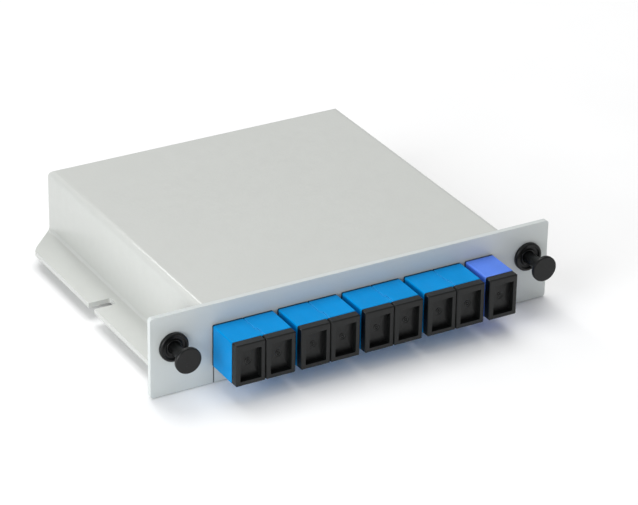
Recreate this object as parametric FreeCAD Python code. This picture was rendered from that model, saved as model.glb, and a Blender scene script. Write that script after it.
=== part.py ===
import FreeCAD, Part
import math
import os

V = FreeCAD.Vector

# Plug-in fibre splitter cassette, in millimetres.
# +X runs along the front panel to the right, +Y runs back into the rack, +Z is up.
# Origin: middle of the panel's lower edge, in the plane of its front face.

# ---- driving dimensions -------------------------------------------------------------------

# front panel
PANEL_HEIGHT = 25.0
PANEL_THICKNESS = 1.6
PANEL_CORNER_RADIUS = 0.9

# cover, a folded sheet
COVER_BACK_Y = 98.5
COVER_SHEET = 1.5
COVER_ROW_GAP = 2.65
COVER_BEND_RADIUS = 0.9

# cover flanges, with a notch and a cut-off rear corner
FLANGE_TOP_Z = 5.0
FLANGE_REACH = 10.0
NOTCH_Y = 48.1
NOTCH_WIDTH = 4.0
NOTCH_DEPTH = 7.0
CORNER_CUT_X = 8.0
CORNER_CUT_Y = 8.6
CORNER_ROUND = 3.0

# base tray, a folded sheet inside the cover
TRAY_SHEET = 1.2
TRAY_BEND_RADIUS = 0.5
TRAY_SIDE_HEIGHT = 8.5
TRAY_REAR_HEIGHT = 14.0
TRAY_CLEARANCE = 0.2
STRIP_GAP = 0.15

# cover screws
SCREW_RADIUS = 1.25
SCREW_HOLE_CLEARANCE = 0.2
SCREW_THREAD_CLEARANCE = 0.05
SCREW_HEAD_RADIUS = 2.3
SCREW_HEAD_HEIGHT = 1.4
SCREW_LENGTH = 5.0
SCREW_SPACING = 64.0
SCREW_Z = 10.0
SCREW_SOCKET_RADIUS = 1.0
SCREW_SOCKET_DEPTH = 0.7

# adapter row: cells (ports) in each adapter, from left to right
ROW_CELLS = [2, 2, 2, 2, 1]
CELL_WIDTH = 9.5
ADAPTER_HEIGHT = 13.1
ADAPTER_GAP = 1.55
PORT_Z = 12.0
ADAPTER_FRONT_Y = -11.4
ADAPTER_REAR_Y = 16.0
ADAPTER_SEAT_GAP = 0.1
NECK_INSET = 0.35
WINDOW_CLEARANCE = 0.1
SOCKET_WIDTH = 7.6
SOCKET_HEIGHT = 9.2
KEY_SLOT_HEIGHT = 3.2
KEY_SLOT_DEPTH = 0.5
KEY_SLOT_LENGTH = 9.0
KEY_NOTCH_LENGTH = 5.0
SEAM_WIDTH = 0.4
SEAM_DEPTH = 0.25
SEAM_JOG = 0.7
SEAM_JOG_LENGTH = 3.6
MOUTH_CHAMFER = 0.3

# adapter retaining clips
CLIP_SHEET = 0.3
CLIP_FIT = 0.02
CLIP_FRONT_Y = 5.2
CLIP_LENGTH = 4.0
CLIP_BARB_WIDTH = 3.0
CLIP_BARB_RISE = 0.95
CLIP_BARB_GAP = 0.15

# sleeve holder and ceramic alignment sleeve of each port
SLEEVE_BORE_RADIUS = 1.27
SLEEVE_RADIUS = 1.6
SLEEVE_LENGTH = 11.4
SLEEVE_SLOT = 0.5
HOLDER_BORE_RADIUS = 1.65
HOLDER_TUBE_RADIUS = 2.4
HOLDER_TUBE_LENGTH = 12.4
HOLDER_LIP_RADIUS = 1.4
HOLDER_PLATE = 1.6
HOLDER_FIT = 0.05
HOLDER_ARM_THICKNESS = 0.6
HOLDER_ARM_WIDTH = 2.4
HOLDER_ARM_REACH = 8.6
HOLDER_HOOK_HEIGHT = 0.35
HOLDER_HOOK_LENGTH = 1.2

# dust caps
CAP_FRONT_Y = -14.0
CAP_INSET = 0.1
CAP_SEAT_GAP = 0.05
CAP_EDGE_CHAMFER = 0.3
CAP_RIM = 1.35
CAP_TOP_RIM = 1.9
CAP_RECESS_DEPTH = 1.95
CAP_PLUG_LENGTH = 6.0
CAP_PLUG_CLEARANCE = 0.15
CAP_WALL = 0.8
CAP_GATE_RADIUS = 1.2
CAP_GATE_DEPTH = 0.15
CAP_PIP_RADIUS = 0.4

# push-pull latches, with the gaps from their collars to the cover and to the panel's ends
LATCH_COVER_GAP = 3.6
LATCH_END_GAP = 2.6
LATCH_Z = 15.0
COLLAR_RADIUS = 4.4
COLLAR_HEIGHT = 1.3
COLLAR_RIM = 0.8
COLLAR_DISH_DEPTH = 0.8
HUB_RADIUS = 2.6
HUB_HEIGHT = 0.5
SHANK_RADIUS = 3.1
SHANK_END_Y = 9.0
SHANK_HOLE_CLEARANCE = 0.1
SHANK_CHAMFER = 0.5
SHANK_SLOT_WIDTH = 0.8
SHANK_SLOT_START_Y = 3.0
NECK_RADIUS = 1.8
NECK_CLEARANCE = 0.1
HUB_LIP_END_Y = 0.4
TIP_RADIUS = 2.1
TIP_LENGTH = 5.5
TIP_CHAMFER = 0.4
KNOB_RADIUS = 3.95
KNOB_THICKNESS = 1.3
KNOB_FRONT_Y = -9.7
KNOB_BEVEL = 0.25
KNOB_FOOT = 0.5

# plugs on the inner side of the adapters
PLUG_CLEARANCE = 0.1
PLUG_TIP_GAP = 0.05
PLUG_NOSE_GAP = 0.5
PLUG_LENGTH = 19.0
PLUG_GRIP_LENGTH = 8.0
PLUG_GRIP_DEPTH = 0.3
FERRULE_RADIUS = 1.25
ARM_SLOT_CLEARANCE = 0.25
BOOT_LENGTH = 12.0
BOOT_ROOT_RADIUS = 2.6
BOOT_END_RADIUS = 1.3

# fibres in their tubes, and their route
FIBRE_RADIUS = 0.45
FIBRE_BORE_CLEARANCE = 0.05
FIBRE_SEAT = 3.0
FIBRE_BEND = 8.0
LANE_PITCH = 1.0
LANE_WALL_GAP = 1.7
FRONT_LANE_SETBACK = 14.0

# splitter chip in its case, at the rear of the box
CASE_LENGTH = 50.0
CASE_DEPTH = 12.0
CASE_HEIGHT = 4.0
CASE_CORNER = 0.5
CASE_WALL_GAP = 1.6
END_PLUG_LENGTH = 3.0
END_PLUG_INSET = 0.4
CRADLE_LENGTH = 6.0
CRADLE_SPACING = 34.0
CRADLE_WALL = 1.0
CRADLE_FIT = 0.05
CRADLE_LIP = 2.0

# fibre clips on the tray floor
FIBRE_CLIP_WIDTH = 5.0
FIBRE_CLIP_WALL = 1.0
FIBRE_CLIP_FIT = 0.1
FIBRE_CLIP_TOP = 0.8

# ---- sizes that follow from them ----------------------------------------------------------

ROW_WIDTH = sum(ROW_CELLS) * CELL_WIDTH + (len(ROW_CELLS) - 1) * ADAPTER_GAP
NECK_HEIGHT = ADAPTER_HEIGHT - 2 * NECK_INSET
NECK_BOTTOM_Z = PORT_Z - NECK_HEIGHT / 2
NECK_TOP_Z = PORT_Z + NECK_HEIGHT / 2
WINDOW_TOP_Z = NECK_TOP_Z + WINDOW_CLEARANCE
STRIP_TOP_Z = NECK_BOTTOM_Z - WINDOW_CLEARANCE
STRIP_SIDE_X = ROW_WIDTH / 2 - NECK_INSET + WINDOW_CLEARANCE

COVER_INNER_X = ROW_WIDTH / 2 + COVER_ROW_GAP
COVER_SIDE_X = COVER_INNER_X + COVER_SHEET
COVER_BEND_OUTER = COVER_BEND_RADIUS + COVER_SHEET
LATCH_X = COVER_SIDE_X + LATCH_COVER_GAP + COLLAR_RADIUS
PANEL_SIDE_X = LATCH_X + COLLAR_RADIUS + LATCH_END_GAP
FLANGE_EDGE_X = COVER_SIDE_X + FLANGE_REACH
FLANGE_BOTTOM_Z = FLANGE_TOP_Z - COVER_SHEET
FOLD_TOP_Z = FLANGE_TOP_Z + COVER_BEND_OUTER

TRAY_SIDE_X = COVER_INNER_X - TRAY_CLEARANCE
TRAY_INNER_X = TRAY_SIDE_X - TRAY_SHEET
TRAY_BACK_Y = COVER_BACK_Y - COVER_SHEET - TRAY_CLEARANCE
TRAY_INNER_BACK_Y = TRAY_BACK_Y - TRAY_SHEET
TRAY_FRONT_HEIGHT = STRIP_TOP_Z - TRAY_CLEARANCE

SLEEVE_MID_Y = (ADAPTER_FRONT_Y + ADAPTER_REAR_Y) / 2
MID_TUBE_REAR_Y = SLEEVE_MID_Y + HOLDER_TUBE_LENGTH / 2
PLUG_FRONT_Y = MID_TUBE_REAR_Y + PLUG_NOSE_GAP
PLUG_REAR_Y = PLUG_FRONT_Y + PLUG_LENGTH
BOOT_END_Y = PLUG_REAR_Y + BOOT_LENGTH
FIBRE_START_Y = BOOT_END_Y - FIBRE_SEAT

CAP_FLANGE_BACK_Y = ADAPTER_FRONT_Y - CAP_SEAT_GAP
CAP_WIDTH = CELL_WIDTH - 2 * CAP_INSET
CAP_HEIGHT = ADAPTER_HEIGHT - 2 * CAP_INSET
ARM_ROOM = HOLDER_FIT + HOLDER_ARM_THICKNESS + HOLDER_HOOK_HEIGHT
CAP_PLUG_WIDTH = SOCKET_WIDTH - 2 * CAP_PLUG_CLEARANCE
CAP_PLUG_HEIGHT = SOCKET_HEIGHT - 2 * (ARM_ROOM + CAP_PLUG_CLEARANCE)

OUTPUT_COUNT = sum(ROW_CELLS) - ROW_CELLS[-1]
CASE_MID_Y = TRAY_INNER_BACK_Y - CASE_WALL_GAP - CASE_DEPTH / 2
REAR_LANE_Y = CASE_MID_Y + (OUTPUT_COUNT - 1) * LANE_PITCH / 2
OUTER_LANE_X = -TRAY_INNER_X + LANE_WALL_GAP + FIBRE_RADIUS
INNER_LANE_X = OUTER_LANE_X + (OUTPUT_COUNT - 1) * LANE_PITCH
FRONT_LANE_Y = BOOT_END_Y + FRONT_LANE_SETBACK
CASE_LEFT_X = INNER_LANE_X + FIBRE_BEND + END_PLUG_LENGTH + LANE_PITCH
CASE_RIGHT_X = CASE_LEFT_X + CASE_LENGTH
FIBRE_CLIP_Y = (FRONT_LANE_Y + REAR_LANE_Y - FIBRE_CLIP_WIDTH) / 2


# ---- shared shapes ------------------------------------------------------------------------

def block(x0, x1, y0, y1, z0, z1):
    """Rectangular block between two corners."""
    return Part.makeBox(x1 - x0, y1 - y0, z1 - z0, V(x0, y0, z0))


def rod(radius, x, z, y0, y1):
    """Round bar along Y."""
    return Part.makeCylinder(radius, y1 - y0, V(x, y0, z), V(0, 1, 0))


def turned(profile, x, z):
    """Solid of revolution about a line along Y; the profile is (radius, y) corners."""
    corners = [V(r, y, 0) for r, y in profile]
    face = Part.Face(Part.makePolygon(corners + corners[:1]))
    solid = face.revolve(V(0, 0, 0), V(0, 1, 0), 360)
    solid.translate(V(x, 0, z))
    return solid


def unit(a, b):
    """Unit vector from one point to another."""
    return (b - a).normalize()


def rounded_path(points, radius):
    """Straight runs joined by tangent arcs: a list of edges."""
    edges = []
    last = points[0]
    for before, corner, after in zip(points, points[1:], points[2:]):
        way_in = unit(before, corner)
        way_out = unit(corner, after)
        half_turn = way_in.getAngle(way_out) / 2
        reach = radius * math.tan(half_turn)
        start = corner - way_in * reach
        end = corner + way_out * reach
        middle_line = (way_out - way_in).normalize()
        centre = corner + middle_line * (radius / math.cos(half_turn))
        middle = centre - middle_line * radius
        edges.append(Part.makeLine(last, start))
        edges.append(Part.Arc(start, middle, end).toShape())
        last = end
    edges.append(Part.makeLine(last, points[-1]))
    return edges


def folded_section(outer, inner, outer_radii, inner_radii):
    """Face between the two sides of a folded sheet, each side with its own bend radii."""
    side_a = bent_line(outer, outer_radii)
    side_b = bent_line(inner, inner_radii)
    caps = [Part.makeLine(outer[0], inner[0]), Part.makeLine(outer[-1], inner[-1])]
    wire = Part.Wire(Part.__sortEdges__(side_a + side_b + caps))
    return Part.Face(wire)


def bent_line(points, radii):
    """Straight runs joined by arcs, with one radius for each inner corner."""
    edges = []
    last = points[0]
    for number, radius in enumerate(radii):
        bend = rounded_path(points[number:number + 3], radius)
        edges.append(Part.makeLine(last, bend[0].Vertexes[-1].Point))
        edges.append(bend[1])
        last = bend[1].Vertexes[-1].Point
    edges.append(Part.makeLine(last, points[-1]))
    return edges


def tube_along(points, bend_radius, radius):
    """Round tube along straight runs and tangent arcs."""
    path = Part.Wire(rounded_path(points, bend_radius))
    direction = unit(points[0], points[1])
    ring = Part.Wire(Part.makeCircle(radius, points[0], direction))
    return path.makePipeShell([ring], True, False)


def mirrored(shape):
    """The same shape on the other side of the middle plane."""
    return shape.mirror(V(0, 0, 0), V(1, 0, 0))


# ---- where the adapters and ports are -----------------------------------------------------

def adapter_places():
    """Middle and width of each adapter, and the middles of its ports."""
    places = []
    left = -ROW_WIDTH / 2
    for cells in ROW_CELLS:
        width = cells * CELL_WIDTH
        ports = [left + (cell + 0.5) * CELL_WIDTH for cell in range(cells)]
        places.append((left + width / 2, width, ports))
        left += width + ADAPTER_GAP
    return places


def port_middles():
    """Middle of every port, from left to right."""
    return [x for middle, width, ports in adapter_places() for x in ports]


# ---- sheet metal --------------------------------------------------------------------------

def front_panel():
    """Flat plate with latch holes, adapter windows and the slot for the retaining strip."""
    plate = block(-PANEL_SIDE_X, PANEL_SIDE_X, 0, PANEL_THICKNESS, 0, PANEL_HEIGHT)
    across = [edge for edge in plate.Edges if abs(edge.tangentAt(0).y) > 0.9]
    plate = plate.makeFillet(PANEL_CORNER_RADIUS, across)
    cuts = [block(-STRIP_SIDE_X, STRIP_SIDE_X, -1, PANEL_THICKNESS + 1, -1, STRIP_TOP_Z + STRIP_GAP)]
    for middle, width, ports in adapter_places():
        window = width / 2 - NECK_INSET + WINDOW_CLEARANCE
        cuts.append(block(middle - window, middle + window, -1, PANEL_THICKNESS + 1, PORT_Z, WINDOW_TOP_Z))
        cuts.append(block(middle - window, middle + window, -1, PANEL_THICKNESS + 1, STRIP_TOP_Z, PORT_Z))
    for side in (-1, 1):
        hole = SHANK_RADIUS + SHANK_HOLE_CLEARANCE
        cuts.append(rod(hole, side * LATCH_X, LATCH_Z, -1, PANEL_THICKNESS + 1))
    return plate.cut(cuts).removeSplitter()


def retaining_strip():
    """Flat strip that closes the adapter windows from below, flush with the panel."""
    side = STRIP_SIDE_X - STRIP_GAP
    return block(-side, side, 0, PANEL_THICKNESS, 0, STRIP_TOP_Z)


def flange_cuts():
    """Notch and cut-off rear corner of the left flange."""
    low = FLANGE_BOTTOM_Z - 1
    high = FLANGE_TOP_Z + 1
    half = NOTCH_WIDTH / 2
    notch = block(-FLANGE_EDGE_X - 1, NOTCH_DEPTH - FLANGE_EDGE_X, NOTCH_Y - half, NOTCH_Y + half, low, high)
    root = [edge for edge in notch.Edges
            if abs(edge.tangentAt(0).z) > 0.9 and edge.Vertexes[0].X > -FLANGE_EDGE_X]
    notch = notch.makeFillet(half * 0.4, root)
    outside = COVER_BACK_Y + 1
    start = V(-COVER_SIDE_X, COVER_BACK_Y, low)
    elbow = V(-FLANGE_EDGE_X + FLANGE_REACH - CORNER_CUT_X, COVER_BACK_Y - CORNER_CUT_Y, low)
    edge = V(-FLANGE_EDGE_X, elbow.y - CORNER_ROUND, low)
    far = V(-FLANGE_EDGE_X - 1, edge.y, low)
    shoulder = elbow + V(-CORNER_ROUND * 0.29, -CORNER_ROUND * 0.36, 0)
    wire = Part.Wire([
        Part.makeLine(V(-COVER_SIDE_X, outside, low), start),
        Part.makeLine(start, elbow),
        Part.Arc(elbow, shoulder, edge).toShape(),
        Part.makeLine(edge, far),
        Part.makeLine(far, V(far.x, outside, low)),
        Part.makeLine(V(far.x, outside, low), V(-COVER_SIDE_X, outside, low)),
    ])
    corner = Part.Face(wire).extrude(V(0, 0, high - low))
    return [notch, corner]


def top_bends(solid, z, front_y):
    """Side and rear edges of a block's top face at height z."""
    return [edge for edge in solid.Edges
            if all(abs(v.Z - z) < 1e-6 for v in edge.Vertexes) and max(v.Y for v in edge.Vertexes) > front_y]


def cover_hood():
    """Top, side walls and rear wall, bent over and closed at the rear corners."""
    y = PANEL_THICKNESS
    outer = block(-COVER_SIDE_X, COVER_SIDE_X, y, COVER_BACK_Y, FLANGE_BOTTOM_Z, PANEL_HEIGHT)
    outer = outer.makeFillet(COVER_BEND_OUTER, top_bends(outer, PANEL_HEIGHT, y))
    under = PANEL_HEIGHT - COVER_SHEET
    inner = block(-COVER_INNER_X, COVER_INNER_X, y - 1, COVER_BACK_Y - COVER_SHEET, FLANGE_BOTTOM_Z - 1, under)
    inner = inner.makeFillet(COVER_BEND_RADIUS, top_bends(inner, under, y - 1))
    return outer.cut(inner)


def cover_flange():
    """Left flange with the lower part of the wall that it is folded out of."""
    y = PANEL_THICKNESS
    outer = [V(-FLANGE_EDGE_X, y, FLANGE_TOP_Z), V(-COVER_SIDE_X, y, FLANGE_TOP_Z), V(-COVER_SIDE_X, y, FOLD_TOP_Z)]
    inner = [V(-FLANGE_EDGE_X, y, FLANGE_BOTTOM_Z), V(-COVER_INNER_X, y, FLANGE_BOTTOM_Z),
             V(-COVER_INNER_X, y, FOLD_TOP_Z)]
    section = folded_section(outer, inner, [COVER_BEND_RADIUS], [COVER_BEND_OUTER])
    return section.extrude(V(0, COVER_BACK_Y - y, 0)).cut(flange_cuts())


def cover():
    """Folded cover with its flanges, rear wall and screw holes."""
    wide = COVER_SIDE_X + 1
    low_left = block(-wide, -COVER_INNER_X, 0, COVER_BACK_Y + 1, FLANGE_BOTTOM_Z - 1, FOLD_TOP_Z)
    body = cover_hood().cut([low_left, mirrored(low_left)])
    flange = cover_flange()
    body = body.fuse([flange, mirrored(flange)])
    hole = SCREW_RADIUS + SCREW_HOLE_CLEARANCE
    holes = [rod(hole, side * SCREW_SPACING / 2, SCREW_Z, TRAY_BACK_Y, COVER_BACK_Y + 1) for side in (-1, 1)]
    return body.cut(holes).removeSplitter()


def base_tray():
    """Shallow pan: floor, low front and side walls, higher rear wall with threaded holes."""
    outer = block(-TRAY_SIDE_X, TRAY_SIDE_X, PANEL_THICKNESS, TRAY_BACK_Y, 0, TRAY_REAR_HEIGHT)
    outer = outer.makeFillet(TRAY_BEND_RADIUS + TRAY_SHEET, floor_edges(outer, 0))
    front_y = PANEL_THICKNESS + TRAY_SHEET
    inner = block(-TRAY_INNER_X, TRAY_INNER_X, front_y, TRAY_INNER_BACK_Y, TRAY_SHEET, TRAY_REAR_HEIGHT + 1)
    inner = inner.makeFillet(TRAY_BEND_RADIUS, floor_edges(inner, TRAY_SHEET))
    wide = TRAY_SIDE_X + 1
    over_sides = block(-wide, wide, 0, TRAY_INNER_BACK_Y - TRAY_BEND_RADIUS, TRAY_SIDE_HEIGHT, TRAY_REAR_HEIGHT + 1)
    over_front = block(-wide, wide, 0, front_y + TRAY_BEND_RADIUS, TRAY_FRONT_HEIGHT, TRAY_REAR_HEIGHT + 1)
    thread = SCREW_RADIUS + SCREW_THREAD_CLEARANCE
    holes = [rod(thread, side * SCREW_SPACING / 2, SCREW_Z, TRAY_INNER_BACK_Y - 1, TRAY_BACK_Y + 1)
             for side in (-1, 1)]
    return outer.cut([inner, over_sides, over_front] + holes).removeSplitter()


def floor_edges(solid, z):
    """Edges of a block that bound its face at height z."""
    return [edge for edge in solid.Edges if all(abs(v.Z - z) < 1e-6 for v in edge.Vertexes)]


def cover_screws():
    """Two button-head screws through the rear walls."""
    profile = [
        (0, COVER_BACK_Y - SCREW_LENGTH),
        (SCREW_RADIUS, COVER_BACK_Y - SCREW_LENGTH),
        (SCREW_RADIUS, COVER_BACK_Y),
        (SCREW_HEAD_RADIUS, COVER_BACK_Y),
        (SCREW_HEAD_RADIUS, COVER_BACK_Y + SCREW_HEAD_HEIGHT * 0.5),
        (SCREW_HEAD_RADIUS * 0.7, COVER_BACK_Y + SCREW_HEAD_HEIGHT),
        (SCREW_SOCKET_RADIUS, COVER_BACK_Y + SCREW_HEAD_HEIGHT),
        (SCREW_SOCKET_RADIUS, COVER_BACK_Y + SCREW_HEAD_HEIGHT - SCREW_SOCKET_DEPTH),
        (0, COVER_BACK_Y + SCREW_HEAD_HEIGHT - SCREW_SOCKET_DEPTH),
    ]
    return Part.makeCompound([turned(profile, side * SCREW_SPACING / 2, SCREW_Z) for side in (-1, 1)])


# ---- adapters -----------------------------------------------------------------------------

def edges_before(solid, y):
    """Edges of a block that have an end in front of y."""
    return [edge for edge in solid.Edges if min(v.Y for v in edge.Vertexes) < y - 1e-6]


def adapter(middle, width, ports):
    """Adapter body: a wide mouth in front of the panel and a narrower neck behind it."""
    half = width / 2
    height = ADAPTER_HEIGHT / 2
    mouth = block(middle - half, middle + half, ADAPTER_FRONT_Y, -ADAPTER_SEAT_GAP,
                  PORT_Z - height, PORT_Z + height)
    mouth = mouth.makeChamfer(MOUTH_CHAMFER, edges_before(mouth, -ADAPTER_SEAT_GAP))
    neck = block(middle - half + NECK_INSET, middle + half - NECK_INSET,
                 -ADAPTER_SEAT_GAP, ADAPTER_REAR_Y, NECK_BOTTOM_Z, NECK_TOP_Z)
    cuts = []
    for x in ports:
        wall_x = x + SOCKET_WIDTH / 2
        cuts.append(block(x - SOCKET_WIDTH / 2, wall_x, ADAPTER_FRONT_Y - 1, ADAPTER_REAR_Y + 1,
                          PORT_Z - SOCKET_HEIGHT / 2, PORT_Z + SOCKET_HEIGHT / 2))
        cuts.append(block(wall_x - 1, wall_x + KEY_SLOT_DEPTH,
                          ADAPTER_FRONT_Y - 1, ADAPTER_FRONT_Y + KEY_SLOT_LENGTH,
                          PORT_Z - KEY_SLOT_HEIGHT / 2, PORT_Z + KEY_SLOT_HEIGHT / 2))
    outer_wall = middle + half
    cuts.append(block(outer_wall - CELL_WIDTH / 2, outer_wall + 1,
                      ADAPTER_FRONT_Y - 1, ADAPTER_FRONT_Y + KEY_NOTCH_LENGTH,
                      PORT_Z - KEY_SLOT_HEIGHT / 2, PORT_Z + KEY_SLOT_HEIGHT / 2))
    for left, right in zip(ports, ports[1:]):
        seam = (left + right) / 2
        jog_y = ADAPTER_FRONT_Y + SEAM_JOG_LENGTH
        for edge_z in (PORT_Z - height, PORT_Z + height):
            low = edge_z - SEAM_DEPTH
            high = edge_z + SEAM_DEPTH
            cuts.append(block(seam - SEAM_WIDTH / 2, seam + SEAM_WIDTH / 2, jog_y, -ADAPTER_SEAT_GAP, low, high))
            cuts.append(block(seam - SEAM_WIDTH / 2, seam + SEAM_JOG + SEAM_WIDTH / 2,
                              jog_y, jog_y + SEAM_WIDTH, low, high))
            cuts.append(block(seam + SEAM_JOG - SEAM_WIDTH / 2, seam + SEAM_JOG + SEAM_WIDTH / 2,
                              ADAPTER_FRONT_Y - 1, jog_y + SEAM_WIDTH, low, high))
    return mouth.fuse(neck).cut(cuts).removeSplitter()


def clip_barb(x, tip_y, up):
    """Sprung barb, bent away from the neck towards the metal in front of it."""
    root_z = NECK_TOP_Z if up else NECK_BOTTOM_Z
    away = 1 if up else -1
    near = CLIP_FIT
    corners = [(CLIP_FRONT_Y, near), (CLIP_FRONT_Y, near + CLIP_SHEET),
               (tip_y, CLIP_BARB_RISE + CLIP_SHEET), (tip_y, CLIP_BARB_RISE)]
    points = [V(x - CLIP_BARB_WIDTH / 2, y, root_z + away * z) for y, z in corners]
    face = Part.Face(Part.makePolygon(points + points[:1]))
    return face.extrude(V(CLIP_BARB_WIDTH, 0, 0))


def adapter_clips():
    """One spring-steel band round each neck, with barbs at the top and bottom."""
    clips = []
    for middle, width, ports in adapter_places():
        half = width / 2 - NECK_INSET + CLIP_FIT
        low = NECK_BOTTOM_Z - CLIP_FIT
        high = NECK_TOP_Z + CLIP_FIT
        rear = CLIP_FRONT_Y + CLIP_LENGTH
        hole = block(middle - half, middle + half, CLIP_FRONT_Y - 1, rear + 1, low, high)
        wide = half + CLIP_SHEET
        band = block(middle - wide, middle + wide, CLIP_FRONT_Y, rear, low - CLIP_SHEET, high + CLIP_SHEET)
        band = band.cut(hole)
        barbs = []
        for x in ports:
            barbs.append(clip_barb(x, PANEL_THICKNESS + CLIP_BARB_GAP, True))
            barbs.append(clip_barb(x, PANEL_THICKNESS + TRAY_SHEET + CLIP_BARB_GAP, False))
        clips.append(band.fuse(barbs).removeSplitter())
    return Part.makeCompound(clips)


def sleeve_holder(x):
    """Plate and tube that carry the alignment sleeve, with two latch arms each way."""
    half_w = SOCKET_WIDTH / 2 - HOLDER_FIT
    half_h = SOCKET_HEIGHT / 2 - HOLDER_FIT
    mid = SLEEVE_MID_Y
    half_tube = HOLDER_TUBE_LENGTH / 2
    body = block(x - half_w, x + half_w, mid - HOLDER_PLATE / 2, mid + HOLDER_PLATE / 2,
                 PORT_Z - half_h, PORT_Z + half_h)
    body = body.fuse(rod(HOLDER_TUBE_RADIUS, x, PORT_Z, mid - half_tube, mid + half_tube))
    half_arm = HOLDER_ARM_WIDTH / 2
    for up in (-1, 1):
        outer_z = PORT_Z + up * half_h
        inner_z = outer_z - up * HOLDER_ARM_THICKNESS
        hook_z = inner_z - up * HOLDER_HOOK_HEIGHT
        arm = block(x - half_arm, x + half_arm, mid - HOLDER_ARM_REACH, mid + HOLDER_ARM_REACH,
                    min(outer_z, inner_z), max(outer_z, inner_z))
        body = body.fuse(arm)
        for way in (-1, 1):
            tip = mid + way * HOLDER_ARM_REACH
            back = tip - way * HOLDER_HOOK_LENGTH
            body = body.fuse(block(x - half_arm, x + half_arm, min(tip, back), max(tip, back),
                                   min(inner_z, hook_z), max(inner_z, hook_z)))
    half_sleeve = SLEEVE_LENGTH / 2 + HOLDER_FIT
    body = body.cut(rod(HOLDER_BORE_RADIUS, x, PORT_Z, mid - half_sleeve, mid + half_sleeve))
    return body.cut(rod(HOLDER_LIP_RADIUS, x, PORT_Z, mid - half_tube - 1, mid + half_tube + 1))


def alignment_sleeve(x):
    """Split ceramic sleeve."""
    start = SLEEVE_MID_Y - SLEEVE_LENGTH / 2
    end = SLEEVE_MID_Y + SLEEVE_LENGTH / 2
    sleeve = rod(SLEEVE_RADIUS, x, PORT_Z, start, end).cut(rod(SLEEVE_BORE_RADIUS, x, PORT_Z, start - 1, end + 1))
    slot = block(x - SLEEVE_SLOT / 2, x + SLEEVE_SLOT / 2, start - 1, end + 1, PORT_Z, PORT_Z + SLEEVE_RADIUS + 1)
    return sleeve.cut(slot)


# ---- dust caps ----------------------------------------------------------------------------

def dust_cap(x):
    """Cap with a recessed face and a hollow plug that fits between the latch arms."""
    half_w = CAP_WIDTH / 2
    half_h = CAP_HEIGHT / 2
    recess_back = CAP_FRONT_Y + CAP_RECESS_DEPTH
    flange = block(x - half_w, x + half_w, CAP_FRONT_Y, CAP_FLANGE_BACK_Y, PORT_Z - half_h, PORT_Z + half_h)
    flange = flange.makeChamfer(CAP_EDGE_CHAMFER, edges_before(flange, CAP_FLANGE_BACK_Y))
    recess = block(x - half_w + CAP_RIM, x + half_w - CAP_RIM, CAP_FRONT_Y - 1, recess_back,
                   PORT_Z - half_h + CAP_RIM, PORT_Z + half_h - CAP_TOP_RIM)
    plug = block(x - CAP_PLUG_WIDTH / 2, x + CAP_PLUG_WIDTH / 2,
                 CAP_FLANGE_BACK_Y, ADAPTER_FRONT_Y + CAP_PLUG_LENGTH,
                 PORT_Z - CAP_PLUG_HEIGHT / 2, PORT_Z + CAP_PLUG_HEIGHT / 2)
    hollow_w = CAP_PLUG_WIDTH / 2 - CAP_WALL
    hollow_h = CAP_PLUG_HEIGHT / 2 - CAP_WALL
    hollow = block(x - hollow_w, x + hollow_w, CAP_FLANGE_BACK_Y, ADAPTER_FRONT_Y + CAP_PLUG_LENGTH + 1,
                   PORT_Z - hollow_h, PORT_Z + hollow_h)
    gate = rod(CAP_GATE_RADIUS, x, PORT_Z, recess_back - 1, recess_back + CAP_GATE_DEPTH)
    gate = gate.cut(rod(CAP_PIP_RADIUS, x, PORT_Z, recess_back - CAP_GATE_DEPTH, recess_back + 1))
    return flange.fuse(plug).cut([recess, hollow, gate]).removeSplitter()


# ---- latches ------------------------------------------------------------------------------

def latch_grommet(x):
    """Dished collar in front of the panel, and a shank split into four legs behind it."""
    dish_y = COLLAR_DISH_DEPTH - COLLAR_HEIGHT
    hub_y = dish_y - HUB_HEIGHT
    bore = NECK_RADIUS + NECK_CLEARANCE
    shank_bore = TIP_RADIUS + NECK_CLEARANCE
    profile = [
        (bore, hub_y),
        (bore, HUB_LIP_END_Y),
        (shank_bore, HUB_LIP_END_Y),
        (shank_bore, SHANK_END_Y),
        (SHANK_RADIUS - SHANK_CHAMFER, SHANK_END_Y),
        (SHANK_RADIUS, SHANK_END_Y - SHANK_CHAMFER),
        (SHANK_RADIUS, 0),
        (COLLAR_RADIUS, 0),
        (COLLAR_RADIUS, -COLLAR_HEIGHT + COLLAR_RIM / 3),
        (COLLAR_RADIUS - COLLAR_RIM / 3, -COLLAR_HEIGHT),
        (COLLAR_RADIUS - COLLAR_RIM, -COLLAR_HEIGHT),
        (COLLAR_RADIUS - COLLAR_RIM, dish_y),
        (HUB_RADIUS, dish_y),
        (HUB_RADIUS - HUB_HEIGHT / 2, hub_y),
    ]
    body = turned(profile, x, LATCH_Z)
    half = SHANK_SLOT_WIDTH / 2
    reach = SHANK_RADIUS + 1
    upright = block(x - half, x + half, SHANK_SLOT_START_Y, SHANK_END_Y + 1, LATCH_Z - reach, LATCH_Z + reach)
    level = block(x - reach, x + reach, SHANK_SLOT_START_Y, SHANK_END_Y + 1, LATCH_Z - half, LATCH_Z + half)
    return body.cut([upright, level])


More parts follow.
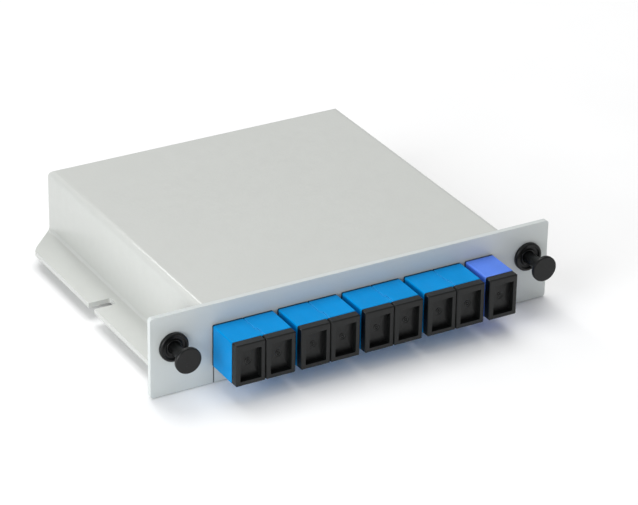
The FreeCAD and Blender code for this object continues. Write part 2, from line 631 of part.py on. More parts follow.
def latch_plunger(x):
    """Knob, neck and tip, drawn out to the unlocked position."""
    knob_back = KNOB_FRONT_Y + KNOB_THICKNESS
    tip_start = HUB_LIP_END_Y + NECK_CLEARANCE
    tip_end = tip_start + TIP_LENGTH
    profile = [
        (0, KNOB_FRONT_Y),
        (KNOB_RADIUS - KNOB_BEVEL, KNOB_FRONT_Y),
        (KNOB_RADIUS, KNOB_FRONT_Y + KNOB_BEVEL),
        (KNOB_RADIUS, knob_back - KNOB_BEVEL),
        (KNOB_RADIUS - KNOB_BEVEL, knob_back),
        (NECK_RADIUS + KNOB_FOOT, knob_back),
        (NECK_RADIUS, knob_back + KNOB_FOOT),
        (NECK_RADIUS, tip_start),
        (TIP_RADIUS, tip_start),
        (TIP_RADIUS, tip_end - TIP_CHAMFER),
        (TIP_RADIUS - TIP_CHAMFER, tip_end),
        (0, tip_end),
    ]
    return turned(profile, x, LATCH_Z)


# ---- plugs behind the adapters ------------------------------------------------------------

def inner_plug(x):
    """Plug housing with slots for the latch arms, a grip waist and a ferrule bore."""
    half_w = SOCKET_WIDTH / 2 - PLUG_CLEARANCE
    half_h = SOCKET_HEIGHT / 2 - PLUG_CLEARANCE
    housing = block(x - half_w, x + half_w, PLUG_FRONT_Y, PLUG_REAR_Y, PORT_Z - half_h, PORT_Z + half_h)
    slot_half = HOLDER_ARM_WIDTH / 2 + ARM_SLOT_CLEARANCE
    arm_end = SLEEVE_MID_Y + HOLDER_ARM_REACH + ARM_SLOT_CLEARANCE
    floor = SOCKET_HEIGHT / 2 - ARM_ROOM - ARM_SLOT_CLEARANCE
    cuts = [rod(FERRULE_RADIUS, x, PORT_Z, PLUG_FRONT_Y - 1, PLUG_REAR_Y + 1)]
    for up in (-1, 1):
        near = PORT_Z + up * floor
        far = PORT_Z + up * (half_h + 1)
        cuts.append(block(x - slot_half, x + slot_half, PLUG_FRONT_Y - 1, arm_end, min(near, far), max(near, far)))
    for side in (-1, 1):
        near = x + side * (half_w - PLUG_GRIP_DEPTH)
        far = x + side * (half_w + 1)
        cuts.append(block(min(near, far), max(near, far), PLUG_REAR_Y - PLUG_GRIP_LENGTH - 1, PLUG_REAR_Y - 1,
                          PORT_Z - half_h - 1, PORT_Z + half_h + 1))
    return housing.cut(cuts)


def plug_ferrule(x):
    """Ceramic ferrule, held in the plug and reaching to the middle of the sleeve."""
    tip = SLEEVE_MID_Y + PLUG_TIP_GAP
    return rod(FERRULE_RADIUS, x, PORT_Z, tip, PLUG_REAR_Y)


def plug_boot(x):
    """Tapered boot with a bore for the fibre tube."""
    boot = Part.makeCone(BOOT_ROOT_RADIUS, BOOT_END_RADIUS, BOOT_LENGTH, V(x, PLUG_REAR_Y, PORT_Z), V(0, 1, 0))
    bore = FIBRE_RADIUS + FIBRE_BORE_CLEARANCE
    return boot.cut(rod(bore, x, PORT_Z, PLUG_REAR_Y - 1, BOOT_END_Y + 1))


# ---- splitter and fibres ------------------------------------------------------------------

def splitter_case():
    """Flat steel case round the splitter chip."""
    half_z = CASE_HEIGHT / 2
    case = block(CASE_LEFT_X, CASE_RIGHT_X, CASE_MID_Y - CASE_DEPTH / 2, CASE_MID_Y + CASE_DEPTH / 2,
                 PORT_Z - half_z, PORT_Z + half_z)
    along = [edge for edge in case.Edges if abs(edge.tangentAt(0).x) > 0.9]
    return case.makeFillet(CASE_CORNER, along)


def splitter_end_plugs():
    """Moulded plugs in the two ends of the case, where the fibres enter."""
    half_y = CASE_DEPTH / 2 - END_PLUG_INSET
    half_z = CASE_HEIGHT / 2 - END_PLUG_INSET
    ends = [(CASE_LEFT_X - END_PLUG_LENGTH, CASE_LEFT_X), (CASE_RIGHT_X, CASE_RIGHT_X + END_PLUG_LENGTH)]
    return Part.makeCompound([
        block(x0, x1, CASE_MID_Y - half_y, CASE_MID_Y + half_y, PORT_Z - half_z, PORT_Z + half_z)
        for x0, x1 in ends])


def splitter_cradle():
    """Two saddles that stand on the tray floor and hold the case at the height of the ports."""
    middle = (CASE_LEFT_X + CASE_RIGHT_X) / 2
    case_bottom = PORT_Z - CASE_HEIGHT / 2 - CRADLE_FIT
    inner = CASE_DEPTH / 2 + CRADLE_FIT
    outer = inner + CRADLE_WALL
    saddles = []
    for side in (-1, 1):
        x0 = middle + side * CRADLE_SPACING / 2 - CRADLE_LENGTH / 2
        x1 = x0 + CRADLE_LENGTH
        saddle = block(x0, x1, CASE_MID_Y - outer, CASE_MID_Y + outer, TRAY_SHEET, case_bottom + CRADLE_LIP)
        seat = block(x0 - 1, x1 + 1, CASE_MID_Y - inner, CASE_MID_Y + inner, case_bottom, PORT_Z + CASE_HEIGHT)
        core = block(x0 - 1, x1 + 1, CASE_MID_Y - inner, CASE_MID_Y + inner,
                     TRAY_SHEET - 1, case_bottom - CRADLE_WALL)
        saddles.append(saddle.cut([seat, core]))
    return Part.makeCompound(saddles)


def output_fibre(number, x):
    """One output fibre: back from its boot, round the left side and into the case."""
    lane_x = OUTER_LANE_X + number * LANE_PITCH
    rear_y = REAR_LANE_Y - number * LANE_PITCH
    front_y = FRONT_LANE_Y + number * LANE_PITCH
    start = V(x, FIBRE_START_Y, PORT_Z)
    end = V(CASE_LEFT_X - END_PLUG_LENGTH, rear_y, PORT_Z)
    if x - lane_x > 2 * FIBRE_BEND:
        turn = [V(x, front_y, PORT_Z), V(lane_x, front_y, PORT_Z)]
    else:
        turn = [V(x, BOOT_END_Y + FIBRE_SEAT, PORT_Z), V(lane_x, front_y, PORT_Z)]
    return tube_along([start] + turn + [V(lane_x, rear_y, PORT_Z), end], FIBRE_BEND, FIBRE_RADIUS)


def output_fibres():
    """All output fibres, side by side in one layer."""
    ports = port_middles()[:OUTPUT_COUNT]
    return Part.makeCompound([output_fibre(number, x) for number, x in enumerate(ports)])


def input_fibre():
    """Fibre from the single adapter, round the right rear corner into the case."""
    x = port_middles()[-1]
    points = [V(x, FIBRE_START_Y, PORT_Z), V(x, CASE_MID_Y, PORT_Z),
              V(CASE_RIGHT_X + END_PLUG_LENGTH, CASE_MID_Y, PORT_Z)]
    return tube_along(points, FIBRE_BEND, FIBRE_RADIUS)


def fibre_clip(x0, x1, y):
    """Stand with a channel through it, for the fibres that run between x0 and x1."""
    half = FIBRE_RADIUS + FIBRE_CLIP_FIT
    stand = block(x0 - half - FIBRE_CLIP_WALL, x1 + half + FIBRE_CLIP_WALL, y, y + FIBRE_CLIP_WIDTH,
                  TRAY_SHEET, PORT_Z + half + FIBRE_CLIP_TOP)
    channel = block(x0 - half, x1 + half, y - 1, y + FIBRE_CLIP_WIDTH + 1, PORT_Z - half, PORT_Z + half)
    return stand.cut(channel)


def fibre_clips():
    """One clip on the output fibres and one on the input fibre."""
    x = port_middles()[-1]
    return Part.makeCompound([
        fibre_clip(OUTER_LANE_X, INNER_LANE_X, FIBRE_CLIP_Y),
        fibre_clip(x, x, FIBRE_CLIP_Y - FIBRE_CLIP_WIDTH),
    ])


# ---- the whole cassette -------------------------------------------------------------------

def all_nodes():
    """Every piece by name."""
    ports = port_middles()
    nodes = {
        "front_panel": front_panel(),
        "retaining_strip": retaining_strip(),
        "cover": cover(),
        "base_tray": base_tray(),
        "cover_screws": cover_screws(),
        "adapter_clips": adapter_clips(),
        "sleeve_holders": Part.makeCompound([sleeve_holder(x) for x in ports]),
        "alignment_sleeves": Part.makeCompound([alignment_sleeve(x) for x in ports]),
        "inner_plugs": Part.makeCompound([inner_plug(x) for x in ports]),
        "plug_ferrules": Part.makeCompound([plug_ferrule(x) for x in ports]),
        "plug_boots": Part.makeCompound([plug_boot(x) for x in ports]),
        "splitter_case": splitter_case(),
        "splitter_end_plugs": splitter_end_plugs(),
        "splitter_cradle": splitter_cradle(),
        "output_fibres": output_fibres(),
        "input_fibre": input_fibre(),
        "fibre_clips": fibre_clips(),
    }
    for number, place in enumerate(adapter_places(), 1):
        nodes["adapter_%d" % number] = adapter(*place)
    for number, x in enumerate(ports, 1):
        nodes["dust_cap_%d" % number] = dust_cap(x)
    for name, side in (("left", -1), ("right", 1)):
        nodes["latch_grommet_" + name] = latch_grommet(side * LATCH_X)
        nodes["latch_plunger_" + name] = latch_plunger(side * LATCH_X)
    return nodes


os.makedirs("parts", exist_ok=True)
for name, shape in all_nodes().items():
    shape.exportStep("parts/%s.step" % name)
    print("%-22s solids %d  valid %s  volume %.1f" % (name, len(shape.Solids), shape.isValid(), shape.Volume))
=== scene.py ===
import bmesh
import bpy
import math
from mathutils import Matrix, Vector
from mathutils.bvhtree import BVHTree


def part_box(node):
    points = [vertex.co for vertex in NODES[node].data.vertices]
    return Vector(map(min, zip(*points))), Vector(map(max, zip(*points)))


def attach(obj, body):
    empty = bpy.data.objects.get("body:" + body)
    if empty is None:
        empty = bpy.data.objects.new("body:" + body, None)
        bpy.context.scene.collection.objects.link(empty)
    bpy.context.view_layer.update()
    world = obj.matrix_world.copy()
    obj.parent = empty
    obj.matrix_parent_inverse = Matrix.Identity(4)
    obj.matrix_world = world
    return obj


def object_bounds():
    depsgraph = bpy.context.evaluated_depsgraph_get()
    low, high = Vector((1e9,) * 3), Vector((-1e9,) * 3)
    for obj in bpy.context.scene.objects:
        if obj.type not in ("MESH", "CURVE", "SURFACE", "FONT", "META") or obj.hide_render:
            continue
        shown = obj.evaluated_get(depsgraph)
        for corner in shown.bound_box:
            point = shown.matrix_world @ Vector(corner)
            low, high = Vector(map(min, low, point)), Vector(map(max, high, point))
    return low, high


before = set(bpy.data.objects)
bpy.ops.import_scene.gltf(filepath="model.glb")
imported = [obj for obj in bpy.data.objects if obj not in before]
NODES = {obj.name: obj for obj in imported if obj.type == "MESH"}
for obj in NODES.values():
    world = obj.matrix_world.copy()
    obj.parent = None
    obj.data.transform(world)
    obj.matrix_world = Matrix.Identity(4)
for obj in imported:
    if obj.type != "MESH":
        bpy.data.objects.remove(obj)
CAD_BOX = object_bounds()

# Lengths are in metres, as in the frame, and in millimetres where a name ends in _mm or _MM.
MM = 0.001
SHEET_METAL = ["front_panel", "retaining_strip", "cover", "base_tray"]
BLUE_ADAPTERS = ["adapter_%d" % number for number in range(1, 5)]
VIOLET_ADAPTER = "adapter_5"
CAPS = sorted(name for name in NODES if name.startswith("dust_cap_"))
LATCHES = [name for name in NODES if name.startswith("latch_")]

# colours, in 8-bit sRGB values
COAT_GREY = (198, 200, 196)
PAINT_GREY = (204, 209, 208)
BLUE = (0, 138, 208)
# the paler blue, violet and cap colours for sharp edges are painted highlights
BLUE_EDGE_HIGHLIGHT = (96, 196, 246)
VIOLET = (84, 128, 228)
VIOLET_EDGE_HIGHLIGHT = (150, 120, 248)
CAP_BLACK = (12, 14, 14)
CAP_EDGE_HIGHLIGHT = (40, 43, 43)
MARK_BLACK = (30, 32, 32)
LATCH_BLACK = (12, 13, 13)
PLATED_STEEL = (190, 190, 188)
SPRING_STEEL = (184, 184, 182)
NATURAL_WHITE = (226, 226, 220)
CERAMIC_WHITE = (240, 240, 236)
PLUG_BLUE = (12, 110, 190)
END_PLUG_BLACK = (40, 40, 40)
TUBE_IVORY = (236, 232, 214)

# linear colours of light and sheen
WHITE = (1.0, 1.0, 1.0, 1.0)
BLUE_SHEEN = (0.1, 0.5, 1.0, 1.0)
NEUTRAL = (1.0, 1.0, 1.0)
COOL_KEY = (0.97, 0.985, 1.0)
COOL_CARD = (0.96, 0.985, 1.0)

# the colour mix node repeats its socket names for each kind of value, so these are positions
MIX_SHARE, MIX_FIRST, MIX_SECOND, MIX_RESULT = 0, 6, 7, 2

# finishes
NOISE_RANGE = (0.3, 0.7)
COAT_ROUGHNESS = 0.16
PEEL_DEPTH_MM = 0.02
COAT_GRAIN_DEPTH_MM = 0.012
WAVE_DEPTH_MM = 0.012
DRAWN_LINE_DEPTH_MM = 0.004
# painted highlight along sharp edges: radius, samples and normal match of its mask
EDGE_RADIUS_MM = 0.25
EDGE_SAMPLES = 6
EDGE_MATCH = (0.99, 0.85)
# painted shade: a dark line on an adapter where it seats on the front panel, for the shadow in the joint
SEAT_SHADE_LINE_MM = 1.1
SEAT_PAINTED_SHADE = 0.08
# painted shade: a dark line at both ends of the retaining strip
END_SHADE_LINE_MM = 0.3
END_PAINTED_SHADE = 0.2

# softened edges of the CAD nodes
WELD_MM = 0.001
BEVEL_SEGMENTS = 2
BEVEL_ANGLE = math.radians(40)
SHEET_EDGE_MM = 0.12
MOULDED_EDGE_MM = 0.12
CAP_EDGE_MM = 0.15

# moulding mark in a cap: a raised ring with a point inside it
RING_RADIUS_MM = 0.72
RING_STEPS = 32
BEAD_RADIUS_MM = 0.12
BEAD_HEIGHT_MM = 0.156
BEAD_STEPS = 6
POINT_RADIUS_MM = 0.24
POINT_HEIGHT_MM = 0.2
POINT_STEPS = 24
DOME_STEPS = 5
SUNK_MM = 0.03

# surroundings, light, floor and camera
MIDDLE = (CAD_BOX[0] + CAD_BOX[1]) / 2
# how far behind the front of the part the left card is aimed
CARD_AIM_DEPTH = 0.01
WORLD_STRENGTH = 0.3
FLOOR_HALF = 3.0
FLOOR_GAP = 0.0002
FLOOR_SHADES = (0.95, 0.97)
FLOOR_ROUGHNESS = 0.9
CAMERA_PLACE = Vector((-0.38272, -0.64443, 0.41807))
CAMERA_FORWARD = Vector((0.44264, 0.76974, -0.45996))
CAMERA_RIGHT = Vector((0.87077, -0.49144, 0.01557))
SENSOR_MM = 36.0
LENS_MM = 169.06


# ---- parts of a material ------------------------------------------------------------------

def linear(colour):
    """Linear colour from 8-bit sRGB values."""
    def channel(value):
        share = value / 255
        return share / 12.92 if share <= 0.04045 else ((share + 0.055) / 1.055) ** 2.4
    return tuple(channel(value) for value in colour) + (1.0,)


def scaled(colour, factor):
    """The same linear colour, darker or lighter."""
    return tuple(min(1.0, part * factor) for part in colour[:3]) + (1.0,)


def new_material(name, metallic=0.0, specular=0.5, tint=WHITE, coat=0.0, coat_rough=0.1):
    """A node material with its constant values set on the shader, and its parts."""
    material = bpy.data.materials.new(name)
    material.use_nodes = True
    tree = material.node_tree
    shader = tree.nodes["Principled BSDF"]
    shader.inputs["Metallic"].default_value = metallic
    shader.inputs["Specular IOR Level"].default_value = specular
    shader.inputs["Specular Tint"].default_value = tint
    shader.inputs["Coat Weight"].default_value = coat
    shader.inputs["Coat Roughness"].default_value = coat_rough
    return material, tree, shader


def noise(tree, size_mm, detail=2.0, roughness=0.5, stretch=(1.0, 1.0, 1.0)):
    """Noise whose features are about size_mm across, in the object's own space."""
    place = tree.nodes.new("ShaderNodeTexCoord")
    mapping = tree.nodes.new("ShaderNodeMapping")
    mapping.inputs["Scale"].default_value = stretch
    texture = tree.nodes.new("ShaderNodeTexNoise")
    texture.inputs["Scale"].default_value = 1.0 / (size_mm * MM)
    texture.inputs["Detail"].default_value = detail
    texture.inputs["Roughness"].default_value = roughness
    tree.links.new(place.outputs["Object"], mapping.inputs["Vector"])
    tree.links.new(mapping.outputs["Vector"], texture.inputs["Vector"])
    return texture.outputs["Fac"]


def coordinate(tree, space, axis):
    """One axis of a texture space."""
    place = tree.nodes.new("ShaderNodeTexCoord")
    parts = tree.nodes.new("ShaderNodeSeparateXYZ")
    tree.links.new(place.outputs[space], parts.inputs["Vector"])
    return parts.outputs[axis]


def remapped(tree, value, source, target=(0.0, 1.0)):
    """A value moved from one range to another and held at its ends."""
    remap = tree.nodes.new("ShaderNodeMapRange")
    remap.inputs["From Min"].default_value, remap.inputs["From Max"].default_value = source
    remap.inputs["To Min"].default_value, remap.inputs["To Max"].default_value = target
    tree.links.new(value, remap.inputs["Value"])
    return remap.outputs["Result"]


def blended(tree, share, first, second):
    """Mix of two colours. The share and the colours are constants or node outputs."""
    mix = tree.nodes.new("ShaderNodeMix")
    mix.data_type = "RGBA"
    for place, value in ((MIX_SHARE, share), (MIX_FIRST, first), (MIX_SECOND, second)):
        if isinstance(value, bpy.types.NodeSocket):
            tree.links.new(value, mix.inputs[place])
        else:
            mix.inputs[place].default_value = value
    return mix.outputs[MIX_RESULT]


def mottled(tree, cloud, colour, shades):
    """A colour that wanders between two shades of itself with a noise."""
    dark, light = shades
    return blended(tree, remapped(tree, cloud, NOISE_RANGE), scaled(colour, dark), scaled(colour, light))


def roughened(tree, shader, cloud, rough):
    """Gives a shader roughness that wanders between two values with a noise."""
    tree.links.new(remapped(tree, cloud, NOISE_RANGE, rough), shader.inputs["Roughness"])


def bumped(tree, shader, layers):
    """Gives a shader bump layers, each (height value, depth in mm)."""
    last = None
    for height, depth_mm in layers:
        bump = tree.nodes.new("ShaderNodeBump")
        bump.inputs["Distance"].default_value = depth_mm * MM
        tree.links.new(height, bump.inputs["Height"])
        if last is not None:
            tree.links.new(last, bump.inputs["Normal"])
        last = bump.outputs["Normal"]
    tree.links.new(last, shader.inputs["Normal"])


def end_shade_share(tree, width_mm):
    """Share of painted shade: 1 in a thin line at both ends of a piece of the given width, 0 between
    them.
    """
    middle = 0.5
    apart = tree.nodes.new("ShaderNodeMath")
    apart.operation = "SUBTRACT"
    apart.inputs[1].default_value = middle
    tree.links.new(coordinate(tree, "Generated", "X"), apart.inputs[0])
    distance = tree.nodes.new("ShaderNodeMath")
    distance.operation = "ABSOLUTE"
    tree.links.new(apart.outputs["Value"], distance.inputs[0])
    line = END_SHADE_LINE_MM / width_mm
    return remapped(tree, distance.outputs["Value"], (middle - line, middle - line / 2))


def seat_shade_share(tree, seat_y):
    """Share of painted shade: 1 at the plane that a piece seats on, 0 a little in front of it."""
    line = SEAT_SHADE_LINE_MM * MM
    return remapped(tree, coordinate(tree, "Object", "Y"), (seat_y - line, seat_y - line / 2))


def edge_highlight_share(tree, most):
    """Share of painted highlight: 0 on flat faces, rising to the given share along sharp edges."""
    rounded = tree.nodes.new("ShaderNodeBevel")
    rounded.samples = EDGE_SAMPLES
    rounded.inputs["Radius"].default_value = EDGE_RADIUS_MM * MM
    face = tree.nodes.new("ShaderNodeNewGeometry")
    match = tree.nodes.new("ShaderNodeVectorMath")
    match.operation = "DOT_PRODUCT"
    tree.links.new(rounded.outputs["Normal"], match.inputs[0])
    tree.links.new(face.outputs["Normal"], match.inputs[1])
    return remapped(tree, match.outputs["Value"], EDGE_MATCH, (0.0, most))


# ---- materials ----------------------------------------------------------------------------

def powder_coat(name, colour, rough, coat=0.0, strip_mm=None):
    """Sprayed and baked coat: orange peel, fine grain and faint cloudiness.

    A strip, whose width is given, also has a thin line of painted shade at both ends.
    """
    material, tree, shader = new_material(name, coat=coat, coat_rough=COAT_ROUGHNESS)
    base = linear(colour)
    clouds = mottled(tree, noise(tree, size_mm=22.0, detail=3.0), base, shades=(0.985, 1.01))
    specks = noise(tree, size_mm=0.45, detail=4.0, roughness=0.7)
    tone = blended(tree, 0.5, clouds, mottled(tree, specks, base, shades=(0.965, 1.02)))
    # painted shade in a thin line at both ends of the strip
    if strip_mm is not None:
        tone = blended(tree, end_shade_share(tree, strip_mm), tone, scaled(base, END_PAINTED_SHADE))
    tree.links.new(tone, shader.inputs["Base Color"])
    roughened(tree, shader, noise(tree, size_mm=3.0, detail=3.0), rough)
    peel = noise(tree, size_mm=1.1, roughness=0.4)
    grain = noise(tree, size_mm=0.22, detail=3.0, roughness=0.6)
    bumped(tree, shader, [(peel, PEEL_DEPTH_MM), (grain, COAT_GRAIN_DEPTH_MM)])
    return material


def moulded(name, colour, rough, grain_mm=0.25, grain_depth_mm=0.006, specular=0.5, tint=WHITE,
            edge_highlight=None, highlight_most=0.8, seat_y=None):
    """Injection-moulded plastic: flow tone, fine grain and uneven gloss.

    A highlight colour is painted along the sharp edges, and a seat plane has a line of painted shade in
    front of it.
    """
    material, tree, shader = new_material(name, specular=specular, tint=tint)
    base = linear(colour)
    flow = noise(tree, size_mm=6.0, detail=3.0, stretch=(1.0, 0.4, 1.0))
    tone = mottled(tree, flow, base, shades=(0.93, 1.05))
    # painted highlight along sharp edges
    if edge_highlight is not None:
        tone = blended(tree, edge_highlight_share(tree, highlight_most), tone, linear(edge_highlight))
    # painted shade in a thin line in front of the seat plane
    if seat_y is not None:
        tone = blended(tree, seat_shade_share(tree, seat_y), tone, scaled(base, SEAT_PAINTED_SHADE))
    tree.links.new(tone, shader.inputs["Base Color"])
    roughened(tree, shader, noise(tree, size_mm=1.6, detail=4.0), rough)
    waves = noise(tree, size_mm=2.5)
    grain = noise(tree, size_mm=grain_mm, detail=3.0, roughness=0.6)
    bumped(tree, shader, [(waves, WAVE_DEPTH_MM), (grain, grain_depth_mm)])
    return material


def metal(name, colour, rough, stretch):
    """Bright steel with fine drawn lines along its length."""
    material, tree, shader = new_material(name, metallic=1.0)
    lines = noise(tree, size_mm=0.5, detail=4.0, roughness=0.6, stretch=stretch)
    tone = mottled(tree, lines, linear(colour), shades=(0.9, 1.0))
    tree.links.new(tone, shader.inputs["Base Color"])
    roughened(tree, shader, lines, rough)
    bumped(tree, shader, [(lines, DRAWN_LINE_DEPTH_MM)])
    return material


# ---- a material for every CAD node --------------------------------------------------------

def give(names, material):
    """Puts a material on CAD nodes."""
    for name in names:
        slots = NODES[name].data.materials
        slots.clear()
        slots.append(material)


def dress_sheet_metal():
    """Coats of the cover and tray, the front panel and the retaining strip."""
    cover = powder_coat("cover_powder_coat", COAT_GREY, rough=(0.42, 0.56), coat=0.5)
    give(["cover", "base_tray"], cover)
    give(["front_panel"], powder_coat("panel_powder_coat", PAINT_GREY, rough=(0.28, 0.38)))
    low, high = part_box("retaining_strip")
    # the retaining strip has painted shade at both ends
    strip = powder_coat("strip_powder_coat", PAINT_GREY, rough=(0.28, 0.38),
                        strip_mm=(high.x - low.x) / MM)
    give(["retaining_strip"], strip)


def dress_adapters():
    """Blue and violet plastic, with painted highlights along sharp edges and a line of painted shade
    where an adapter meets the front panel.
    """
    seat_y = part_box("front_panel")[0].y
    blue = moulded("adapter_blue_plastic", BLUE, rough=(0.30, 0.42), specular=0.12, tint=BLUE_SHEEN,
                   edge_highlight=BLUE_EDGE_HIGHLIGHT, seat_y=seat_y)
    violet = moulded("adapter_violet_plastic", VIOLET, rough=(0.30, 0.42), specular=0.3,
                     edge_highlight=VIOLET_EDGE_HIGHLIGHT, seat_y=seat_y)
    give(BLUE_ADAPTERS, blue)
    give([VIOLET_ADAPTER], violet)


def dress_caps_and_latches():
    """Black plastics, with painted highlights along the caps' sharp edges."""
    cap = moulded("cap_black_plastic", CAP_BLACK, rough=(0.34, 0.46), grain_mm=0.3, grain_depth_mm=0.01,
                  specular=0.36, edge_highlight=CAP_EDGE_HIGHLIGHT, highlight_most=0.5)
    give(CAPS, cap)
    latch = moulded("latch_black_nylon", LATCH_BLACK, rough=(0.26, 0.4), grain_mm=0.3, specular=0.30)
    give(LATCHES, latch)


def dress_steel():
    """Screws, splitter case and adapter clips."""
    plated = metal("plated_steel", PLATED_STEEL, rough=(0.22, 0.4), stretch=(0.1, 1.0, 1.0))
    give(["cover_screws", "splitter_case"], plated)
    spring = metal("spring_steel", SPRING_STEEL, rough=(0.2, 0.34), stretch=(1.0, 0.1, 1.0))
    give(["adapter_clips"], spring)


def dress_inside():
    """Plastic and ceramic pieces inside the box."""
    natural = moulded("natural_plastic", NATURAL_WHITE, rough=(0.4, 0.55))
    give(["sleeve_holders", "splitter_cradle", "fibre_clips", "plug_boots"], natural)
    ceramic = moulded("white_ceramic", CERAMIC_WHITE, rough=(0.1, 0.2))
    give(["alignment_sleeves", "plug_ferrules"], ceramic)
    give(["inner_plugs"], moulded("plug_blue_plastic", PLUG_BLUE, rough=(0.3, 0.42)))
    give(["splitter_end_plugs"], moulded("end_plug_black", END_PLUG_BLACK, rough=(0.4, 0.6)))
    tube = moulded("fibre_tube_plastic", TUBE_IVORY, rough=(0.35, 0.5))
    give(["output_fibres", "input_fibre"], tube)


# ---- edges --------------------------------------------------------------------------------

def soften(names, width_mm):
    """Rounds the sharp edges of CAD nodes by a small radius."""
    for name in names:
        weld = NODES[name].modifiers.new("joined_vertices", "WELD")
        weld.merge_threshold = WELD_MM * MM
        bevel = NODES[name].modifiers.new("soft_edges", "BEVEL")
        bevel.width = width_mm * MM
        bevel.segments = BEVEL_SEGMENTS
        bevel.limit_method = "ANGLE"
        bevel.angle_limit = BEVEL_ANGLE
        bevel.use_clamp_overlap = True
        normals = NODES[name].modifiers.new("even_normals", "WEIGHTED_NORMAL")
        normals.keep_sharp = False


def soften_nodes():
    """Small radii that each process leaves on its edges."""
    soften(SHEET_METAL, SHEET_EDGE_MM)
    soften(BLUE_ADAPTERS + [VIOLET_ADAPTER] + LATCHES, MOULDED_EDGE_MM)
    soften(CAPS, CAP_EDGE_MM)


# ---- moulding marks -----------------------------------------------------------------------

def angles(end, parts):
    """Angles from 0 to the end one, in equal parts."""
    return [end * part / parts for part in range(parts + 1)]


def circle(shell, middle, radius_mm, y_mm, steps):
    """New vertices in a circle round a line along Y through the middle, y_mm behind it."""
    vertices = []
    for step in range(steps):
        angle = 2 * math.pi * step / steps
        offset = Vector((radius_mm * math.cos(angle), y_mm, radius_mm * math.sin(angle))) * MM
        vertices.append(shell.verts.new(middle + offset))
    return vertices


def band(shell, first, second):
    """Faces between two circles of vertices."""
    for step in range(len(first)):
        after = (step + 1) % len(first)
        shell.faces.new((first[step], second[step], second[after], first[after]))


def raised_ring(shell, middle):
    """Bead round the middle, with a curved front and a foot sunk in the cap."""
    outline = [(RING_RADIUS_MM + BEAD_RADIUS_MM * math.cos(angle), -BEAD_HEIGHT_MM * math.sin(angle))
               for angle in angles(math.pi, BEAD_STEPS)]
    outline.append((RING_RADIUS_MM - BEAD_RADIUS_MM, SUNK_MM))
    outline.append((RING_RADIUS_MM + BEAD_RADIUS_MM, SUNK_MM))
    circles = [circle(shell, middle, radius_mm, y_mm, RING_STEPS) for radius_mm, y_mm in outline]
    for first, second in zip(circles, circles[1:] + circles[:1]):
        band(shell, first, second)


def raised_point(shell, middle):
    """Small dome on the middle, with a foot sunk in the cap."""
    outline = [(POINT_RADIUS_MM * math.sin(angle), -POINT_HEIGHT_MM * math.cos(angle))
               for angle in angles(math.pi / 2, DOME_STEPS)]
    outline.append((POINT_RADIUS_MM, SUNK_MM))
    tip = shell.verts.new(middle + Vector((0, -POINT_HEIGHT_MM * MM, 0)))
    circles = [circle(shell, middle, radius_mm, y_mm, POINT_STEPS) for radius_mm, y_mm in outline[1:]]
    smallest, largest = circles[0], circles[-1]
    for step in range(POINT_STEPS):
        shell.faces.new((tip, smallest[step], smallest[(step + 1) % POINT_STEPS]))
    for first, second in zip(circles, circles[1:]):
        band(shell, first, second)
    shell.faces.new(largest)


def depths(cap, middle, offsets_mm):
    """Y at which a cap's surface starts, at the given distances to the right of its middle."""
    mesh = NODES[cap].data
    tree = BVHTree.FromPolygons([vertex.co for vertex in mesh.vertices],
                                [face.vertices for face in mesh.polygons])
    front_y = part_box(cap)[0].y - MM
    starts = [Vector((middle.x + offset_mm * MM, front_y, middle.z)) for offset_mm in offsets_mm]
    return [tree.ray_cast(start, Vector((0, 1, 0)))[0].y for start in starts]


def cap_mark(port, material):
    """Ring and point that the moulding tool leaves in the recess of a cap."""
    cap = "dust_cap_%d" % port
    low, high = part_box(cap)
    middle = (low + high) / 2
    point_y, ring_y = depths(cap, middle, offsets_mm=(0, RING_RADIUS_MM))
    shell = bmesh.new()
    raised_ring(shell, Vector((middle.x, ring_y, middle.z)))
    raised_point(shell, Vector((middle.x, point_y, middle.z)))
    bmesh.ops.recalc_face_normals(shell, faces=shell.faces)
    for face in shell.faces:
        face.smooth = True
    name = "cap_mark_%d" % port
    mesh = bpy.data.meshes.new(name)
    shell.to_mesh(mesh)
    shell.free()
    mesh.materials.append(material)
    mark = bpy.data.objects.new(name, mesh)
    bpy.context.scene.collection.objects.link(mark)
    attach(mark, "cap_%d" % port)


def cap_marks():
    """A mark in every cap."""
    gloss = moulded("cap_mark_plastic", MARK_BLACK, rough=(0.2, 0.3), grain_mm=0.3, grain_depth_mm=0.004,
                    specular=0.6)
    for port in range(1, len(CAPS) + 1):
        cap_mark(port, gloss)


# ---- surroundings, light, floor and camera ------------------------------------------------

def surroundings():
    """Plain white surroundings."""
    world = bpy.data.worlds.new("studio_world")
    world.use_nodes = True
    background = world.node_tree.nodes["Background"]
    background.inputs["Color"].default_value = WHITE
    background.inputs["Strength"].default_value = WORLD_STRENGTH
    bpy.context.scene.world = world
    bpy.context.scene.view_settings.view_transform = "Standard"


def area_light(name, offset, size, power, colour=NEUTRAL, target=MIDDLE):
    """Softbox of a width and height, placed from the middle of the part and aimed at a point."""
    place = MIDDLE + Vector(offset)
    data = bpy.data.lights.new(name, "AREA")
    data.shape = "RECTANGLE"
    data.size, data.size_y = size
    data.energy = power
    data.color = colour
    lamp = bpy.data.objects.new(name, data)
    lamp.location = place
    lamp.rotation_mode = "QUATERNION"
    lamp.rotation_quaternion = (target - place).to_track_quat("-Z", "Y")
    bpy.context.scene.collection.objects.link(lamp)


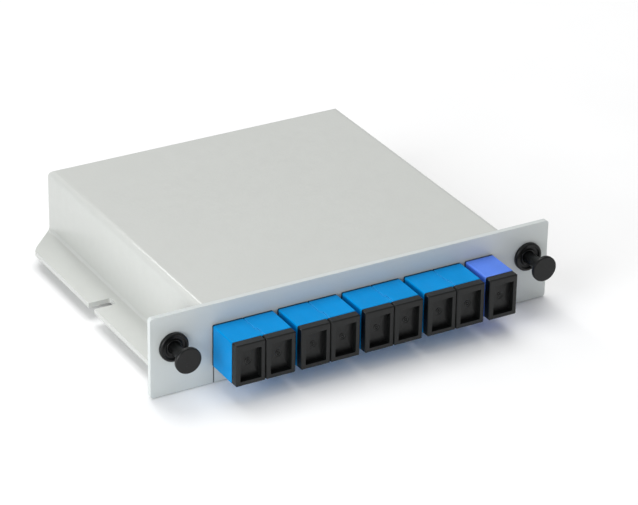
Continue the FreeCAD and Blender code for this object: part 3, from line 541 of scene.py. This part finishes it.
def lights():
    """Soft light from above and the left, weak fill from the front and right, and a strip behind."""
    low = CAD_BOX[0]
    front_left = Vector((low.x, low.y + CARD_AIM_DEPTH, MIDDLE.z))
    area_light("overhead", offset=(0.1, 0.3, 1.1), size=(0.9, 0.9), power=8.8)
    area_light("key_left", offset=(-0.95, -0.25, 0.6), size=(0.6, 0.6), power=4.2, colour=COOL_KEY)
    area_light("card_left", offset=(-0.30, -0.17, 0.08), size=(0.12, 0.12), power=0.34, colour=COOL_CARD,
               target=front_left)
    area_light("front_fill", offset=(-0.1, -1.2, 0.3), size=(0.8, 0.8), power=0.9)
    area_light("rear_strip", offset=(0.07, 0.89, 0.655), size=(0.10, 0.34), power=0.9)
    area_light("right_fill", offset=(0.7, -0.8, 0.4), size=(0.5, 0.5), power=0.3)


def floor():
    """Plain pale floor, a hair below the part."""
    half = FLOOR_HALF
    mesh = bpy.data.meshes.new("floor")
    corners = [(-half, -half, 0), (half, -half, 0), (half, half, 0), (-half, half, 0)]
    mesh.from_pydata(corners, [], [(0, 1, 2, 3)])
    plane = bpy.data.objects.new("floor", mesh)
    plane.location.z = CAD_BOX[0].z - FLOOR_GAP
    bpy.context.scene.collection.objects.link(plane)
    pale, tree, shader = new_material("floor_pale", specular=0.1)
    tone = mottled(tree, noise(tree, size_mm=60.0), WHITE, FLOOR_SHADES)
    tree.links.new(tone, shader.inputs["Base Color"])
    shader.inputs["Roughness"].default_value = FLOOR_ROUGHNESS
    mesh.materials.append(pale)


def camera():
    """Long lens from the front left, looking down on the part."""
    up = CAMERA_RIGHT.cross(CAMERA_FORWARD)
    right = CAMERA_FORWARD.cross(up)
    axes = Matrix((right.normalized(), up.normalized(), -CAMERA_FORWARD.normalized())).transposed()
    data = bpy.data.cameras.new("camera")
    data.sensor_width = SENSOR_MM
    data.lens = LENS_MM
    viewer = bpy.data.objects.new("camera", data)
    viewer.matrix_world = Matrix.Translation(CAMERA_PLACE) @ axes.to_4x4()
    bpy.context.scene.collection.objects.link(viewer)
    bpy.context.scene.camera = viewer


dress_sheet_metal()
dress_adapters()
dress_caps_and_latches()
dress_steel()
dress_inside()
soften_nodes()
cap_marks()
surroundings()
lights()
floor()
camera()
